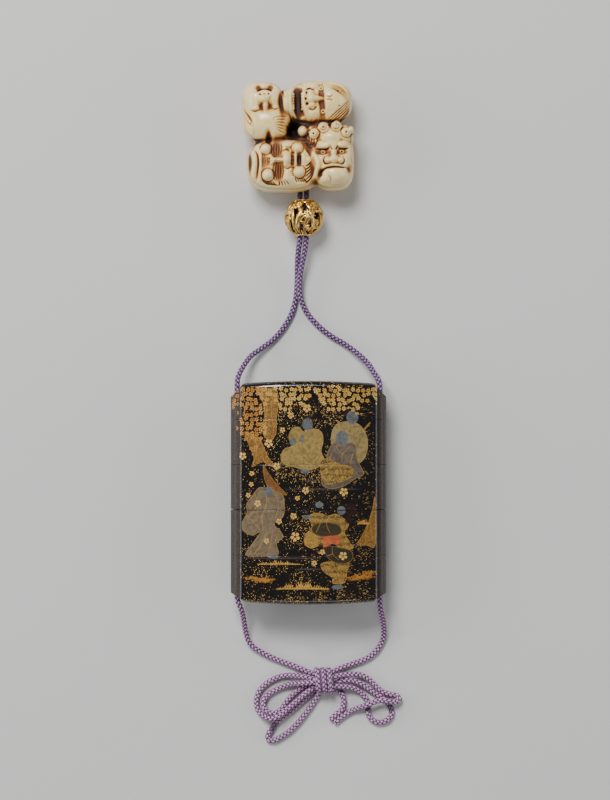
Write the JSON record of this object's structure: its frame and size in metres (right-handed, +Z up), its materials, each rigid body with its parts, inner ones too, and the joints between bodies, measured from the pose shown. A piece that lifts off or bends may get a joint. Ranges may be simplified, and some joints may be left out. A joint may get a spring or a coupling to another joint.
{
  "type": "inro case",
  "caption": "Flat lacquered case of nesting boxes on a silk cord, with a pierced sliding bead and a carved mask toggle.",
  "frame": {"origin": "middle of the case's flat back face, on the surface that the case lies on", "axes": "+Y along the case towards its lid and the toggle, +X across the case, +Z up from the surface"},
  "size_m": [0.0677, 0.2672, 0.024],
  "materials": {
    "lacquer": "polished black lacquer with gold powder pictures",
    "silk_cord": "round braided silk, purple with lilac flecks",
    "gilt_bead": "pierced and chased gilt metal, darkened in the hollows",
    "ivory": "polished ivory stained brown in the carving"
  },
  "bodies": {
    "root": {"lid": "lacquer", "box_1": "lacquer", "box_2": "lacquer", "box_3": "lacquer", "box_4": "lacquer", "cord_left": "silk_cord", "cord_right": "silk_cord", "cord_bow": "silk_cord", "ojime_bead": "gilt_bead", "netsuke_toggle": "ivory"}
  },
  "joints": []
}
